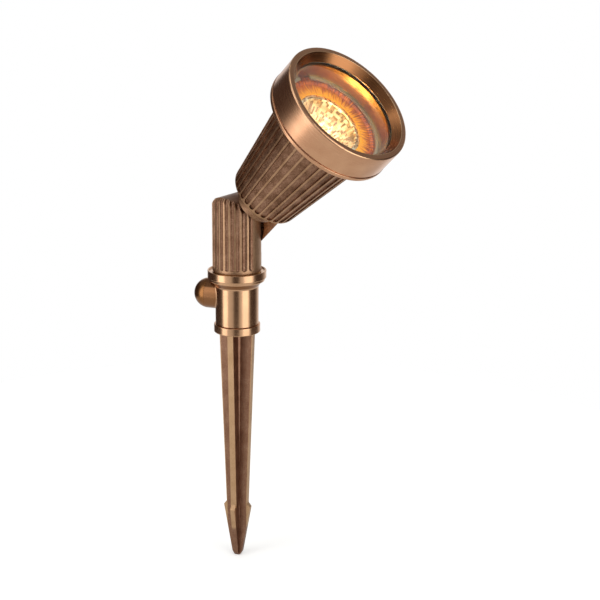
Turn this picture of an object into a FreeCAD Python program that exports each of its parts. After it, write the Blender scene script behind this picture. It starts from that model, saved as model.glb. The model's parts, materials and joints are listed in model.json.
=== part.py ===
import FreeCAD, Part
import math
import os

# Garden spike spotlight: a lamp head on a two-piece knuckle, a collar with a cable gland, and a ground stake.
# Millimetres. The origin is on the stake's axis at the underside of the collar's lower rim, where the ground
# is, and +Z is up. The head aims along -Y and tilts about an axis along X.
# Head pieces are drawn upright on their own axis with the pivot at the origin, then tilted and lifted.
# Threads are drawn as plain cylinders at the thread's outer size.

# How the object stands
HEAD_TILT = 46.7          # head axis from the vertical, degrees, forward
STAKE_TURN = 22.3         # stake and collar about the vertical, degrees, against the head's aim

# Clearances
FIT = 0.05                # radial, shaft in hole and thread in thread
FACE_GAP = 0.1            # between flat faces that turn on each other
TOOTH_GAP = 0.3           # between the tooth tips of the two knuckle faces

# Ground stake
BLADE_TOP_R = 13.9
BLADE_LOW_R = 8.6
BLADE_LENGTH = 142.0
FIN_THICKNESS = 4.7
FIN_END = 145.2
BARB_R = 11.2
BARB_Z = 146.0
BARB_THICKNESS = 3.7
POINT_R = 4.0
POINT_Z = 186.0
TIP_R = 2.4
STAKE_LENGTH = 188.6
CORE_TOP_R = 4.4
CORE_LOW_R = 3.0
CORE_TIP_R = 2.2
SPIGOT_R = 7.0
SPIGOT_HEIGHT = 11.0

# Stake hub
HUB_RIM_R = 17.8
HUB_RIM_HEIGHT = 6.1
HUB_PLUG_HEIGHT = 17.0
HUB_WEB = 2.7
HUB_RECESS_R = 9.0
HUB_RING_WIRE = 0.95      # O-ring half thickness
STAKE_SCREW_R = 2.45
STAKE_SCREW_LENGTH = 12.0
STAKE_SCREW_HEAD_R = 4.6
STAKE_SCREW_HEAD = 3.0

# Collar
BARREL_R = 16.6
BARREL_BORE_R = 13.4
FLANGE_R = 22.45
FLANGE_TOP = 48.5
FLANGE_EDGE = 5.8
COVE_DROP = 6.5           # from the flange's lower edge down to the barrel
SEAT_R = 21.2
SEAT_DEPTH = 1.0
COLLAR_WEB = 10.5         # bearing length of the stem
EDGE = 0.5                # small chamfers and roundings

# Cable gland
GLAND_Z = 28.0
GLAND_R = 11.7
GLAND_REACH = 23.0        # boss end from the stake's axis
GLAND_BORE_R = 3.6
GLAND_PASSAGE_R = 4.5
GLAND_THREAD_R = 8.4
GLAND_THREAD = 3.6
GLAND_CHAMBER = 7.5

# Knuckle
KNUCKLE_R = 18.6
PIVOT_Z = 82.0
EAR_TOP = 107.0
MATE_X = 11.2              # tooth tips of the lower half
NOTCH_Z = 61.5
SHOULDER_R = 24.0         # rounds the edge between the post's side and its top
EAR_SLOPE = 4.4           # degrees, the post's top rises towards the mating face
FLUTE_BEND_R = 6.0        # the flutes' upper ends bend over the shoulder
FLUTE_BEND = 50.0         # degrees of that bend
STEM_R = 10.2
STEM_BOTTOM = 31.0
STEM_BORE_R = 4.5
STEM_BORE_TOP = 76.5
PAN_WASHER = 0.6
PAN_WASHER_R = 18.0
FLUTE_STEP = 13.6         # degrees, the middle eight flutes
FLUTES_NARROW = 4         # each side of the middle
FLUTES_WIDE = 2           # each side, next to the parting plane
FLUTE_DEPTH = 1.05
FLUTE_RIDGE = 1.1         # width of the land between flutes
FLUTE_FOOT = 2.6          # plain band under the flutes
TEETH = 72
TOOTH_DEPTH = 0.8
TOOTH_INNER_R = 11.5
TOOTH_OUTER_R = 17.7
POCKET_INNER_R = 5.3
POCKET_OUTER_R = 8.8
POCKET_DEPTH = 3.6
PIVOT_RING_R = 10.1
PIVOT_RING_WIRE = 0.65
CROSS_BORE_R = 2.4

# Pivot screw, its head on the +X side
PIVOT_SCREW_R = 3.95
PIVOT_SCREW_END = -4.0
PIVOT_HEAD_R = 6.5
PIVOT_HEAD = 5.0
PIVOT_WASHER_R = 7.4
PIVOT_WASHER = 1.2
SPOT_FACE_X = 17.6
SPOT_FACE_R = 8.0
SOCKET_AF = 5.0
SOCKET_DEPTH = 3.0

# Stem nut
STEM_NUT_R = 13.0
STEM_NUT = 4.5
STEM_WASHER = 0.8
STEM_WASHER_R = 13.1
NUT_SLOT = 3.0
NUT_SLOT_DEPTH = 1.3

# Upper knuckle, on the head's axis
EAR_R = 21.3
BOSS_R = 16.0
BOSS_FROM = 28.0
NECK_GASKET = 0.8
NECK_GASKET_R = 15.7
NIPPLE_R = 10.3
NIPPLE_LENGTH = 13.0
NIPPLE_BORE_R = 5.0
WIRE_TURN = 33.0          # where the wire way leaves the axis
WIRE_WAY_X = 13.6
WIRE_WAY_END = 6.5

# Head body
BODY_REAR = 39.9
BODY_REAR_R = 24.1
REAR_CHAMFER = 2.5
CREST_REAR_R = 26.6
CREST_FRONT_R = 37.9
BODY_NECK = 123.5
REAR_WALL = 4.5
WALL = 1.9
RIBS = 32
RIB_HEIGHT = 1.1
RIB_WIDTH_REAR = 1.3
RIB_WIDTH_FRONT = 1.5
RIB_START = 45.4
TUBE_R = 42.0
TUBE_BORE_R = 38.8
TUBE_FRONT = 139.7
LEDGE = 125.6
RING_GROOVE = 128.0
RING_GROOVE_WIDTH = 1.7
RING_GROOVE_R = 40.4
RING_WIRE = 0.72

# Bezel and lens
BEZEL_R = 48.05
BEAD_R = 48.3
BEAD_LENGTH = 3.2
BEAD_GROOVE = 0.7
BEAD_GROOVE_WIDTH = 0.8
BEZEL_REAR = 124.3
BEZEL_FRONT = 148.6
BEZEL_EDGE = 1.1
FACE_INNER_R = 44.0
LIP_R = 39.8
LIP_DEPTH = 5.7
LIP_THICKNESS = 0.3
LENS_POCKET_R = 41.5
GASKET_LEG = 0.4
GASKET_WEB = 0.45
GASKET_LEG_R = 39.9
LENS_THICKNESS = 1.9
BEZEL_GAP = 0.06          # thread on the housing, radial

# Lamp plate and clip
PLATE = 0.8
PLATE_RIM_R = 35.5
PLATE_DISH = 1.6
CLIP_R = 36.6
CLIP = 1.2
CLIP_GROOVE = 0.5
CLIP_OPENING = 16.0       # degrees

# Lamp, 50 mm reflector type with two pins
LAMP_R = 25.0
LAMP_FRONT = 124.0
LAMP_RIM = 1.6
LAMP_RIM_WIDTH = 2.7
LAMP_LENGTH = 44.5
BOWL_VERTEX = 98.0
BOWL_WALL = 1.3
BOWL_HOLE_R = 5.2
LAMP_NECK_R = 9.0
LAMP_GLASS = 1.1
CAPSULE_R = 4.6
CAPSULE_LENGTH = 17.0
BASE_WIDTH = 15.0
BASE_THICKNESS = 9.0
BASE_COLLAR = 5.0
PIN_R = 0.75
PIN_SPACING = 5.33
PIN_LENGTH = 7.0

# Lampholder, bracket and their screws
HOLDER_WIDTH = 19.0
HOLDER_THICKNESS = 12.0
HOLDER_HEIGHT = 12.0
BRACKET = 1.0
BRACKET_WIDTH = 12.0
BRACKET_LEG_X = 15.2
BRACKET_FOOT_X = 22.2
BRACKET_SCREW_X = 19.0
BRACKET_HOLE_R = 4.0
HOLDER_SCREW_X = 6.6
M3_R = 1.45
M3_HEAD_R = 2.6
M3_HEAD = 2.0
BRACKET_SCREW_LENGTH = 3.6
HOLDER_SCREW_LENGTH = 6.0
NECK_WASHER = 0.8
NECK_WASHER_R = 13.4
NECK_NUT = 5.0
NECK_NUT_AF = 24.0

# Wiring
WIRE_R = 1.1
WIRE_X = 2.3
STEM_LEAD_TOP = 74.0
STEM_LEAD_BOTTOM = 24.0
SLEEVE_R = 1.8
SLEEVE_LENGTH = 8.0
SLEEVE_BOTTOM = 20.0

# Sizes that follow from the ones above
HUB_PLUG_R = BARREL_BORE_R - FIT
COLLAR_BOTTOM = HUB_RIM_HEIGHT
SEAT_Z = FLANGE_TOP - SEAT_DEPTH
WEB_Z = SEAT_Z - COLLAR_WEB
FOOT_Z = SEAT_Z + PAN_WASHER + FACE_GAP
EAR_ROUND_Z = EAR_TOP - KNUCKLE_R
UPPER_FACE_X = MATE_X + TOOTH_GAP
BOSS_TOP = BODY_REAR - NECK_GASKET
GLAND_SEAL_FROM = GLAND_REACH - GLAND_CHAMBER
LENS_GASKET_FRONT = BEZEL_FRONT - LIP_DEPTH - LIP_THICKNESS
LENS_GASKET_REAR = LENS_GASKET_FRONT - LENS_THICKNESS - 2 * GASKET_LEG
LAMP_REAR = LAMP_FRONT - LAMP_LENGTH
HOLDER_BOTTOM = LAMP_REAR - HOLDER_HEIGHT
BODY_FLOOR = BODY_REAR + REAR_WALL
CREST_SLOPE = (CREST_FRONT_R - CREST_REAR_R) / (BODY_NECK - BODY_REAR - REAR_CHAMFER)

ORIGIN = FreeCAD.Vector(0, 0, 0)
AXIS_X = FreeCAD.Vector(1, 0, 0)
AXIS_Y = FreeCAD.Vector(0, 1, 0)
AXIS_Z = FreeCAD.Vector(0, 0, 1)
PIVOT = FreeCAD.Vector(0, 0, PIVOT_Z)


# ---- Drawing helpers ----

def at(radius, height):
    """Point of a turned outline, in the XZ plane."""
    return FreeCAD.Vector(radius, 0, height)


def outline(corners):
    """Closed outline in the XZ plane; a corner is (x, z) or (x, z, rounding radius)."""
    count = len(corners)
    edges = []
    starts = []
    ends = []
    arcs = []
    for i in range(count):
        here = at(*corners[i][:2])
        back = (at(*corners[i - 1][:2]) - here).normalize()
        ahead = (at(*corners[(i + 1) % count][:2]) - here).normalize()
        radius = corners[i][2] if len(corners[i]) > 2 else 0
        if radius <= 0:
            starts.append(here)
            ends.append(here)
            arcs.append(None)
            continue
        half = back.getAngle(ahead) / 2
        reach = radius / math.tan(half)
        middle_way = (back + ahead).normalize()
        centre = here + middle_way * (radius / math.sin(half))
        first = here + back * reach
        last = here + ahead * reach
        starts.append(first)
        ends.append(last)
        arcs.append(Part.Arc(first, centre - middle_way * radius, last).toShape())
    for i in range(count):
        if arcs[i] is not None:
            edges.append(arcs[i])
        following = starts[(i + 1) % count]
        if ends[i].distanceToPoint(following) > 1e-6:
            edges.append(Part.LineSegment(ends[i], following).toShape())
    return Part.Wire(edges)


def turned(corners):
    """Solid of revolution about Z."""
    return Part.Face(outline(corners)).revolve(ORIGIN, AXIS_Z, 360)


def plate(corners, thickness):
    """Flat piece with its outline in the XZ plane, centred on Y = 0."""
    face = Part.Face(outline(corners))
    face.translate(FreeCAD.Vector(0, -thickness / 2, 0))
    return face.extrude(FreeCAD.Vector(0, thickness, 0))


def tube(outer, inner, bottom, top):
    """Plain ring about Z."""
    return turned([(inner, bottom), (outer, bottom), (outer, top), (inner, top)])


def rod(radius, bottom, top, x=0.0, y=0.0):
    """Cylinder along Z."""
    return Part.makeCylinder(radius, top - bottom, FreeCAD.Vector(x, y, bottom), AXIS_Z)


def cross_rod(radius, x_from, x_to, z=0.0):
    """Cylinder along X."""
    return Part.makeCylinder(radius, x_to - x_from, FreeCAD.Vector(x_from, 0, z), AXIS_X)


def hexagon(across_flats, bottom, top):
    """Hexagonal prism about Z."""
    corner = across_flats / math.sqrt(3)
    points = []
    for i in range(7):
        angle = math.radians(60 * i)
        points.append(FreeCAD.Vector(corner * math.cos(angle), corner * math.sin(angle), bottom))
    face = Part.Face(Part.makePolygon(points))
    return face.extrude(FreeCAD.Vector(0, 0, top - bottom))


def block(x_size, y_size, bottom, top):
    """Box centred on the axis."""
    corner = FreeCAD.Vector(-x_size / 2, -y_size / 2, bottom)
    return Part.makeBox(x_size, y_size, top - bottom, corner)


def lying_along_x(shape):
    """Turns a piece drawn about Z so that its +Z runs along +X."""
    turned_piece = shape.copy()
    turned_piece.rotate(ORIGIN, AXIS_Y, 90)
    return turned_piece


def both_sides(shape):
    """The piece and its half-turn copy about Z."""
    other = shape.copy()
    other.rotate(ORIGIN, AXIS_Z, 180)
    return Part.makeCompound([shape, other])


def in_stake(shape):
    """From the stake's own frame, gland towards +Y, to where the stake stands."""
    placed = shape.copy()
    placed.rotate(ORIGIN, AXIS_Z, STAKE_TURN)
    return placed


def in_head(shape):
    """From the upright head frame to the tilted head."""
    placed = shape.copy()
    placed.rotate(ORIGIN, AXIS_X, HEAD_TILT)
    placed.translate(PIVOT)
    return placed


def at_pivot(shape):
    """From a frame with the pivot at its origin to the post."""
    placed = shape.copy()
    placed.translate(PIVOT)
    return placed


# ---- Stake ----

def fin_pair():
    """Two opposite fins with the barbs, in the XZ plane."""
    upper = plate([
        (-BLADE_TOP_R, 0), (BLADE_TOP_R, 0), (BLADE_LOW_R, -BLADE_LENGTH), (BLADE_LOW_R, -FIN_END),
        (-BLADE_LOW_R, -FIN_END), (-BLADE_LOW_R, -BLADE_LENGTH),
    ], FIN_THICKNESS)
    point = plate([
        (-BLADE_LOW_R + EDGE, -BLADE_LENGTH), (BLADE_LOW_R - EDGE, -BLADE_LENGTH), (BARB_R, -BARB_Z, EDGE),
        (POINT_R, -POINT_Z), (TIP_R, -STAKE_LENGTH), (-TIP_R, -STAKE_LENGTH), (-POINT_R, -POINT_Z),
        (-BARB_R, -BARB_Z, EDGE),
    ], BARB_THICKNESS)
    return upper.fuse(point)


def ground_stake():
    """Cast cruciform blade with a round spigot for the hub."""
    fins = fin_pair()
    crossing = fins.copy()
    crossing.rotate(ORIGIN, AXIS_Z, 90)
    core = turned([
        (0, -POINT_Z), (CORE_TIP_R, -POINT_Z), (CORE_LOW_R, -BLADE_LENGTH), (CORE_TOP_R, 0), (0, 0),
    ])
    spigot = turned([(0, -1), (SPIGOT_R, -1), (SPIGOT_R, SPIGOT_HEIGHT, EDGE), (0, SPIGOT_HEIGHT)])
    blade = fins.fuse(crossing).fuse(core).fuse(spigot).removeSplitter()
    return in_stake(blade.cut(rod(STAKE_SCREW_R + FIT, SPIGOT_HEIGHT - STAKE_SCREW_LENGTH, SPIGOT_HEIGHT)))


def stake_hub():
    """Turned plug: rim below the barrel, thread inside it, socket for the spigot."""
    web_top = SPIGOT_HEIGHT + HUB_WEB
    body = turned([
        (SPIGOT_R + FIT, 0), (HUB_RIM_R, 0, EDGE), (HUB_RIM_R, HUB_RIM_HEIGHT, EDGE),
        (HUB_PLUG_R, HUB_RIM_HEIGHT), (HUB_PLUG_R, HUB_PLUG_HEIGHT), (HUB_RECESS_R, HUB_PLUG_HEIGHT),
        (HUB_RECESS_R, web_top), (STAKE_SCREW_R + 2 * FIT, web_top), (STAKE_SCREW_R + 2 * FIT, SPIGOT_HEIGHT),
        (SPIGOT_R + FIT, SPIGOT_HEIGHT),
    ])
    return in_stake(body)


def hub_o_ring():
    """Seal in the counterbore at the barrel's mouth."""
    ring = Part.makeTorus(HUB_PLUG_R + HUB_RING_WIRE + FIT, HUB_RING_WIRE)
    ring.translate(FreeCAD.Vector(0, 0, HUB_RIM_HEIGHT + HUB_RING_WIRE))
    return in_stake(ring)


def screw(radius, length, head_radius, head_height, slot=0.0):
    """Screw with its head above Z = 0 and its shank below, both about Z."""
    shank = rod(radius, -length, 0)
    head = turned([(0, 0), (head_radius, 0), (head_radius, head_height, head_height * 0.4), (0, head_height)])
    body = shank.fuse(head).removeSplitter()
    if slot > 0:
        cutter = block(head_radius * 3, slot, head_height * 0.5, head_height + 1)
        body = body.cut(cutter)
    return body


def stake_screw():
    """Holds the blade's spigot in the hub."""
    body = screw(STAKE_SCREW_R, STAKE_SCREW_LENGTH, STAKE_SCREW_HEAD_R, STAKE_SCREW_HEAD, slot=EDGE * 2)
    body.translate(FreeCAD.Vector(0, 0, SPIGOT_HEIGHT + HUB_WEB))
    return in_stake(body)


# ---- Collar and cable gland ----

def gland_frame(shape):
    """From a piece drawn up Z to the gland's axis, which leaves the collar along +Y."""
    placed = shape.copy()
    placed.rotate(ORIGIN, AXIS_X, -90)
    placed.translate(FreeCAD.Vector(0, 0, GLAND_Z))
    return in_stake(placed)


def collar():
    """Barrel with the flange, the stem's bearing and the gland's boss."""
    edge_low = FLANGE_TOP - FLANGE_EDGE
    counterbore = HUB_PLUG_R + 2 * (HUB_RING_WIRE + FIT)
    counterbore_top = COLLAR_BOTTOM + 2 * HUB_RING_WIRE + FIT
    drop = COVE_DROP / 6.5
    shell = turned([
        (counterbore, COLLAR_BOTTOM), (BARREL_R - EDGE, COLLAR_BOTTOM), (BARREL_R, COLLAR_BOTTOM + EDGE),
        (BARREL_R, edge_low - COVE_DROP, 2.0), (BARREL_R + 2.4, edge_low - 3.2 * drop),
        (BARREL_R + 3.0, edge_low - 2.6 * drop), (FLANGE_R - 1.3, edge_low - 2.5 * drop, 0.9),
        (FLANGE_R - 1.0, edge_low), (FLANGE_R, edge_low, EDGE), (FLANGE_R, FLANGE_TOP, EDGE),
        (SEAT_R, FLANGE_TOP), (SEAT_R - EDGE, SEAT_Z), (STEM_R + FIT, SEAT_Z), (STEM_R + FIT, WEB_Z),
        (BARREL_BORE_R, WEB_Z), (BARREL_BORE_R, counterbore_top), (counterbore, counterbore_top),
    ])
    shell = in_stake(shell)
    boss = gland_frame(rod(GLAND_R, 0, GLAND_REACH))
    boss = boss.cut(in_stake(rod(BARREL_R - 1, COLLAR_BOTTOM, FLANGE_TOP)))
    passage = gland_frame(rod(GLAND_PASSAGE_R, BARREL_BORE_R / 2, GLAND_REACH + 1))
    chamber = gland_frame(rod(GLAND_THREAD_R + FIT, GLAND_SEAL_FROM, GLAND_REACH + 1))
    return shell.fuse(boss).cut(passage).cut(chamber).removeSplitter()


def gland_nut():
    """Domed cap nut with the cable's bore."""
    dome = Part.makeSphere(GLAND_R).common(rod(GLAND_R + 1, 0, GLAND_R + 1))
    thread = rod(GLAND_THREAD_R, -GLAND_THREAD, 0)
    bore = rod(GLAND_BORE_R, -GLAND_THREAD - 1, GLAND_R + 1)
    nut = dome.fuse(thread).removeSplitter().cut(bore)
    nut.translate(FreeCAD.Vector(0, 0, GLAND_REACH))
    return gland_frame(nut)


def gland_seal():
    """Rubber bush that the nut squeezes round the cable."""
    front = GLAND_REACH - GLAND_THREAD
    return gland_frame(tube(GLAND_THREAD_R - FIT, GLAND_BORE_R, GLAND_SEAL_FROM, front))


def pan_washer():
    """Thin washer that the post turns on."""
    return in_stake(tube(PAN_WASHER_R, STEM_R + 4 * FIT, SEAT_Z, SEAT_Z + PAN_WASHER))


# ---- Teeth of the knuckle faces ----

def toothed_disc(base):
    """Radial teeth about Z: tips at Z = 0 pointing up, valleys deeper outwards, flat base below."""
    reach = TOOTH_OUTER_R + 1
    valley = -TOOTH_DEPTH * reach / TOOTH_OUTER_R
    top = []
    bottom = []
    for i in range(2 * TEETH):
        angle = math.pi * i / TEETH
        height = 0 if i % 2 == 0 else valley
        x = reach * math.cos(angle)
        y = reach * math.sin(angle)
        top.append(FreeCAD.Vector(x, y, height))
        bottom.append(FreeCAD.Vector(x, y, base))
    faces = [Part.Face(Part.makePolygon(bottom + bottom[:1]))]
    for i in range(2 * TEETH):
        j = (i + 1) % (2 * TEETH)
        faces.append(Part.Face(Part.makePolygon([ORIGIN, top[i], top[j], ORIGIN])))
        faces.append(Part.Face(Part.makePolygon([top[i], bottom[i], bottom[j], top[j], top[i]])))
    disc = Part.makeSolid(Part.makeShell(faces))
    return disc.common(tube(TOOTH_OUTER_R, TOOTH_INNER_R, base - 1, 1))


# ---- Post ----

def flute(middle, width):
    """One concave groove of the post, its angle measured from -X; its top bends over the shoulder."""
    half = math.radians(width / 2) - FLUTE_RIDGE / 2 / KNUCKLE_R
    floor = KNUCKLE_R - FLUTE_DEPTH
    centre = (KNUCKLE_R ** 2 - floor ** 2) / (2 * (KNUCKLE_R * math.cos(half) - floor))
    radius = centre - floor
    low = FOOT_Z + FLUTE_FOOT + KNUCKLE_R * math.sin(half)
    rise = (SHOULDER_R + centre - KNUCKLE_R - FLUTE_BEND_R) * math.sin(math.radians(45))
    high = EAR_ROUND_Z + rise * math.cos(math.radians(abs(middle)))
    hub = FreeCAD.Vector(FLUTE_BEND_R - centre, 0, high)
    bend = Part.makeTorus(FLUTE_BEND_R, radius, hub, AXIS_Y, 0, 360, FLUTE_BEND)
    bend.rotate(hub, AXIS_Y, -90)
    tip = hub + FreeCAD.Vector(
        -FLUTE_BEND_R * math.cos(math.radians(FLUTE_BEND)), 0, FLUTE_BEND_R * math.sin(math.radians(FLUTE_BEND)))
    groove = rod(radius, low, high, x=-centre)
    groove = groove.fuse(Part.makeSphere(radius, FreeCAD.Vector(-centre, 0, low)))
    groove = groove.fuse(bend).fuse(Part.makeSphere(radius, tip))
    groove.rotate(ORIGIN, AXIS_Z, middle)
    return groove


def flutes():
    """All grooves: narrow ones in the middle, wide ones next to the parting plane."""
    wide = (90 - FLUTES_NARROW * FLUTE_STEP) / FLUTES_WIDE
    widths = [FLUTE_STEP] * FLUTES_NARROW + [wide] * FLUTES_WIDE
    grooves = []
    edge = 0.0
    for width in widths:
        middle = edge + width / 2
        grooves.append(flute(middle, width))
        grooves.append(flute(-middle, width))
        edge += width
    return grooves


def shoulder():
    """Ellipsoid, shorter along Y, that softens the seam at the post's top."""
    ball = Part.makeSphere(SHOULDER_R)
    squeeze = FreeCAD.Matrix()
    squeeze.scale(1, (KNUCKLE_R + FIT) / SHOULDER_R, 1)
    body = ball.transformGeometry(squeeze)
    body.translate(FreeCAD.Vector(0, 0, EAR_ROUND_Z))
    return body


def lower_knuckle():
    """Fluted post: stem below, rounded ear above, toothed face towards +X."""
    foot = turned([
        (0, FOOT_Z), (KNUCKLE_R, FOOT_Z, EDGE), (KNUCKLE_R, EAR_TOP + 1), (0, EAR_TOP + 1),
    ])
    rounding = cross_rod(KNUCKLE_R, -3 * KNUCKLE_R, 3 * KNUCKLE_R, EAR_ROUND_Z)
    below = block(6 * KNUCKLE_R, 4 * KNUCKLE_R, -EAR_ROUND_Z, EAR_ROUND_Z)
    for tool in (rounding, below):
        tool.rotate(FreeCAD.Vector(0, 0, EAR_ROUND_Z), AXIS_Y, -EAR_SLOPE)
    post = foot.common(rounding.fuse(below)).common(shoulder().fuse(below))
    notch = Part.makeBox(
        KNUCKLE_R, 2 * KNUCKLE_R + 2, EAR_TOP, FreeCAD.Vector(MATE_X, -KNUCKLE_R - 1, NOTCH_Z))
    post = post.cut(notch)
    ear = post.copy()
    post = post.cut(Part.makeCompound(flutes()))
    teeth = at_pivot(toothed_along_x(MATE_X, 1)).common(ear)
    tooth_seat = at_pivot(lying_along_x(tube(TOOTH_OUTER_R, TOOTH_INNER_R, MATE_X - 1.2, MATE_X + 1)))
    post = post.cut(tooth_seat).fuse(teeth)
    cuts = [
        at_pivot(lying_along_x(tube(POCKET_OUTER_R, POCKET_INNER_R, MATE_X - POCKET_DEPTH, MATE_X + 1))),
        at_pivot(lying_along_x(tube(
            PIVOT_RING_R + PIVOT_RING_WIRE + FIT, PIVOT_RING_R - PIVOT_RING_WIRE - FIT,
            MATE_X - 2 * PIVOT_RING_WIRE + TOOTH_GAP / 3, MATE_X + 1))),
        cross_rod(PIVOT_SCREW_R + FIT, PIVOT_SCREW_END - 1, MATE_X + 1, PIVOT_Z),
        cross_rod(CROSS_BORE_R, 0, MATE_X - POCKET_DEPTH + 1, PIVOT_Z - (POCKET_INNER_R + POCKET_OUTER_R) / 2),
    ]
    stem = rod(STEM_R, STEM_BOTTOM, FOOT_Z + 1)
    post = post.fuse(stem)
    cuts.append(rod(STEM_BORE_R, STEM_BOTTOM - 1, STEM_BORE_TOP))
    for cutter in cuts:
        post = post.cut(cutter)
    return post.removeSplitter()


def toothed_along_x(face_x, way):
    """Toothed ring about X with its tips at face_x, pointing along way times +X."""
    disc = toothed_disc(-1.6)
    disc.rotate(ORIGIN, AXIS_Y, 90 * way)
    disc.translate(FreeCAD.Vector(face_x, 0, 0))
    return disc


def pivot_o_ring():
    """Seal round the wire way between the knuckle faces."""
    ring = Part.makeTorus(PIVOT_RING_R, PIVOT_RING_WIRE, ORIGIN, AXIS_X)
    ring.translate(FreeCAD.Vector(MATE_X - PIVOT_RING_WIRE + TOOTH_GAP / 3, 0, 0))
    return at_pivot(ring)


def pivot_screw():
    """Socket cap screw through the upper ear into the lower one."""
    seat = SPOT_FACE_X + FACE_GAP + PIVOT_WASHER
    body = screw(PIVOT_SCREW_R, seat - PIVOT_SCREW_END, PIVOT_HEAD_R, PIVOT_HEAD)
    body = body.cut(hexagon(SOCKET_AF, PIVOT_HEAD - SOCKET_DEPTH, PIVOT_HEAD + 1))
    body = lying_along_x(body)
    body.translate(FreeCAD.Vector(seat, 0, 0))
    return at_pivot(body)


def pivot_washer():
    """Washer under the pivot screw's head."""
    low = SPOT_FACE_X + FACE_GAP
    ring = tube(PIVOT_WASHER_R, PIVOT_SCREW_R + 2 * FIT, low, low + PIVOT_WASHER)
    return at_pivot(lying_along_x(ring))


def stem_washer():
    """Washer between the collar's web and the stem nut."""
    top = WEB_Z - FACE_GAP
    return tube(STEM_WASHER_R, STEM_R + FIT, top - STEM_WASHER, top)


def stem_locknut():
    """Slotted ring nut that holds the post down in the collar."""
    top = WEB_Z - FACE_GAP - STEM_WASHER
    nut = tube(STEM_NUT_R, STEM_R + FIT, top - STEM_NUT, top)
    slots = []
    for i in range(4):
        slot = Part.makeBox(
            2 * NUT_SLOT_DEPTH, NUT_SLOT, STEM_NUT + 2,
            FreeCAD.Vector(STEM_NUT_R - NUT_SLOT_DEPTH, -NUT_SLOT / 2, top - STEM_NUT - 1))
        slot.rotate(ORIGIN, AXIS_Z, 90 * i)
        slots.append(slot)
    return nut.cut(Part.makeCompound(slots))


def stem_leads():
    """Two wires down the stem."""
    return both_sides(rod(WIRE_R, STEM_LEAD_BOTTOM, STEM_LEAD_TOP, x=WIRE_X))


def crimp_sleeves():
    """Sleeves on the wires' ends, where the supply cable's cores join."""
    sleeve = rod(SLEEVE_R, SLEEVE_BOTTOM, SLEEVE_BOTTOM + SLEEVE_LENGTH, x=WIRE_X)
    sleeve = sleeve.cut(rod(WIRE_R, SLEEVE_BOTTOM - 1, SLEEVE_BOTTOM + SLEEVE_LENGTH + 1, x=WIRE_X))
    return both_sides(sleeve)


# ---- Upper knuckle and what fastens it ----

def upper_knuckle():
    """Rounded ear beside the post, boss under the housing and threaded nipple into it."""
    ear = Part.makeSphere(EAR_R).fuse(rod(EAR_R, 0, BOSS_TOP)).removeSplitter()
    keep = Part.makeBox(
        EAR_R + 1, 2 * EAR_R + 2, BOSS_TOP + 2 * EAR_R, FreeCAD.Vector(UPPER_FACE_X, -EAR_R - 1, -EAR_R - 1))
    ear = ear.common(keep)
    teeth = toothed_along_x(UPPER_FACE_X, -1).common(ear)
    tooth_seat = lying_along_x(tube(TOOTH_OUTER_R, TOOTH_INNER_R, UPPER_FACE_X - 1, UPPER_FACE_X + 1.2))
    ear = ear.cut(tooth_seat).fuse(teeth)
    boss = turned([(0, BOSS_FROM), (BOSS_R, BOSS_FROM, 2 * EDGE), (BOSS_R, BOSS_TOP), (0, BOSS_TOP)])
    nipple = rod(NIPPLE_R, BOSS_TOP - 1, BOSS_TOP + NIPPLE_LENGTH)
    knuckle = ear.multiFuse([boss, nipple])
    cuts = [
        lying_along_x(tube(POCKET_OUTER_R, POCKET_INNER_R, UPPER_FACE_X - 1, UPPER_FACE_X + POCKET_DEPTH)),
        cross_rod(PIVOT_SCREW_R + FIT, 0, EAR_R + 1),
        cross_rod(SPOT_FACE_R, SPOT_FACE_X, EAR_R + 1),
        rod(NIPPLE_BORE_R, WIRE_TURN, BOSS_TOP + NIPPLE_LENGTH + 1),
        cross_rod(CROSS_BORE_R, 0, WIRE_WAY_X, WIRE_TURN + CROSS_BORE_R),
        rod(CROSS_BORE_R, WIRE_WAY_END, WIRE_TURN + CROSS_BORE_R, x=WIRE_WAY_X),
    ]
    for cutter in cuts:
        knuckle = knuckle.cut(cutter)
    return in_head(knuckle.removeSplitter())


def neck_gasket():
    """Flat seal between the boss and the housing."""
    return in_head(tube(NECK_GASKET_R, NIPPLE_R + FIT, BOSS_TOP, BODY_REAR))


def neck_lock_washer():
    """Washer under the nut inside the housing."""
    return in_head(tube(NECK_WASHER_R, NIPPLE_R + FIT, BODY_FLOOR, BODY_FLOOR + NECK_WASHER))


def neck_locknut():
    """Hexagon nut on the nipple, inside the housing."""
    low = BODY_FLOOR + NECK_WASHER
    nut = hexagon(NECK_NUT_AF, low, low + NECK_NUT)
    return in_head(nut.cut(rod(NIPPLE_R + FIT, low - 1, low + NECK_NUT + 1)))


# ---- Housing ----

def crest_radius(height):
    """Outside of the ribs at a height on the head's axis."""
    return CREST_REAR_R + (height - BODY_REAR - REAR_CHAMFER) * CREST_SLOPE


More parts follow.
